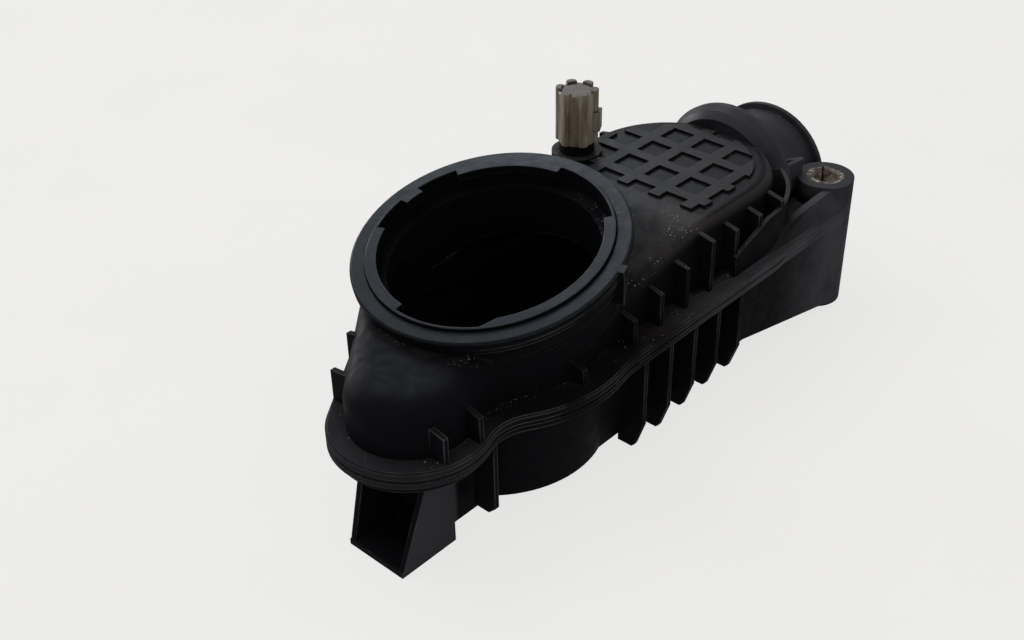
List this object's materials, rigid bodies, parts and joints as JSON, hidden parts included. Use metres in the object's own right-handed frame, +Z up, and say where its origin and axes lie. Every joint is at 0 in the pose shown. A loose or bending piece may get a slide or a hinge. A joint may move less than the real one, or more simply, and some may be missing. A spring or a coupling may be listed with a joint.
{
  "type": "charge air duct",
  "caption": "Moulded engine air duct: wide tilted mouth with bayonet ring, straight hose spigot, sleeved mounting ear, pocket foot and a capped port.",
  "frame": {"origin": "centre of the hose spigot's end rim", "axes": "+X along the spigot towards its hose, +Z up, square to the weld plane, -Y towards the side of the mounting ear"},
  "size_m": [0.2082, 0.084, 0.0826],
  "materials": {
    "upper_shell": "moulded satin, dusty",
    "lower_shell": "moulded satin",
    "bayonet_ring": "fine texture",
    "mount_sleeve": "tarnished",
    "port_cap": "dull, worn",
    "cap_seal": "matte"
  },
  "bodies": {
    "root": {"upper_shell": "upper_shell", "lower_shell": "lower_shell", "bayonet_ring": "bayonet_ring", "mount_sleeve": "mount_sleeve", "port_cap": "port_cap", "cap_seal": "cap_seal"}
  },
  "joints": []
}
